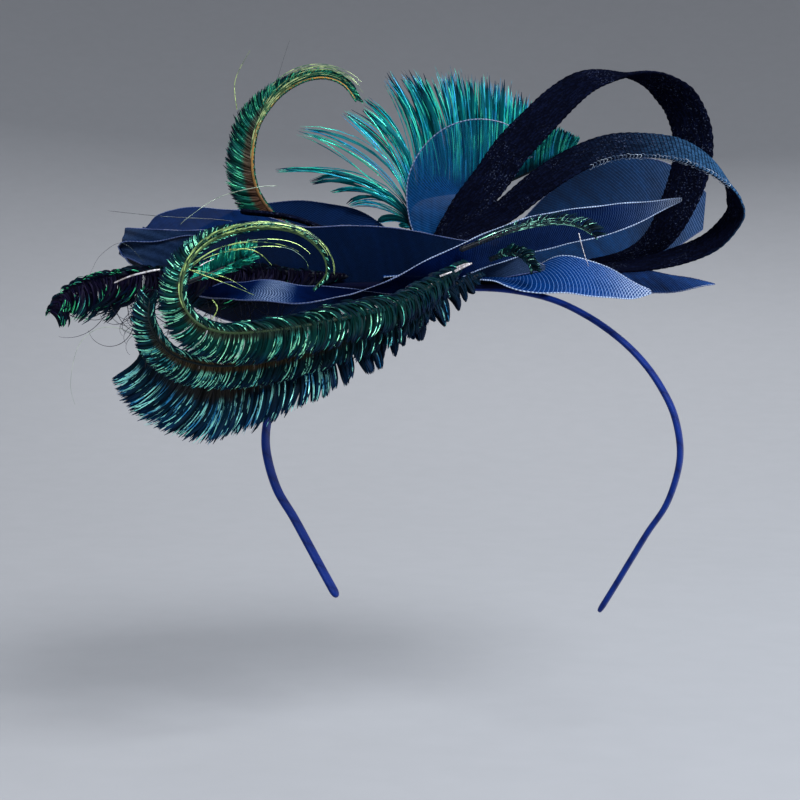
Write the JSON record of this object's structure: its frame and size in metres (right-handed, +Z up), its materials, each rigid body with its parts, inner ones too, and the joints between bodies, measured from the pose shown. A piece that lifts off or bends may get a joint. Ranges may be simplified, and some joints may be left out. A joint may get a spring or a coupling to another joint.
{
  "type": "fascinator",
  "caption": "Feathered fascinator on a slim headband, with folded crinoline sheets, two tall loops of woven braid, and curled plumes.",
  "frame": {"origin": "underside of the headband in its middle, at the crown of the wearer's head", "axes": "+Z up, -Y the way the wearer faces, +X the wearer's left"},
  "size_m": [0.2194, 0.1651, 0.19],
  "materials": {
    "satin_blue": "blue satin covering",
    "base_navy": "navy felt",
    "crin_blue": "translucent blue crinoline mesh",
    "braid_navy": "woven navy straw braid",
    "feather_green": "iridescent green feather"
  },
  "bodies": {
    "root": {"headband": "satin_blue", "base": "base_navy", "crin_front_wave": "crin_blue", "crin_front_petal": "crin_blue", "crin_right_petal": "crin_blue", "crin_left_fold": "crin_blue", "crin_back_left": "crin_blue", "crin_back_right": "crin_blue", "crin_centre_loop": "crin_blue", "braid_back_loop": "braid_navy", "braid_front_loop": "braid_navy", "feather_tall_curl": "feather_green", "feather_fan": "feather_green", "feather_spiral": "feather_green", "feather_middle": "feather_green", "feather_sweep": "feather_green", "feather_left": "feather_green", "feather_right_tip": "feather_green", "feather_low_tip": "feather_green", "feather_inner": "feather_green"}
  },
  "joints": []
}
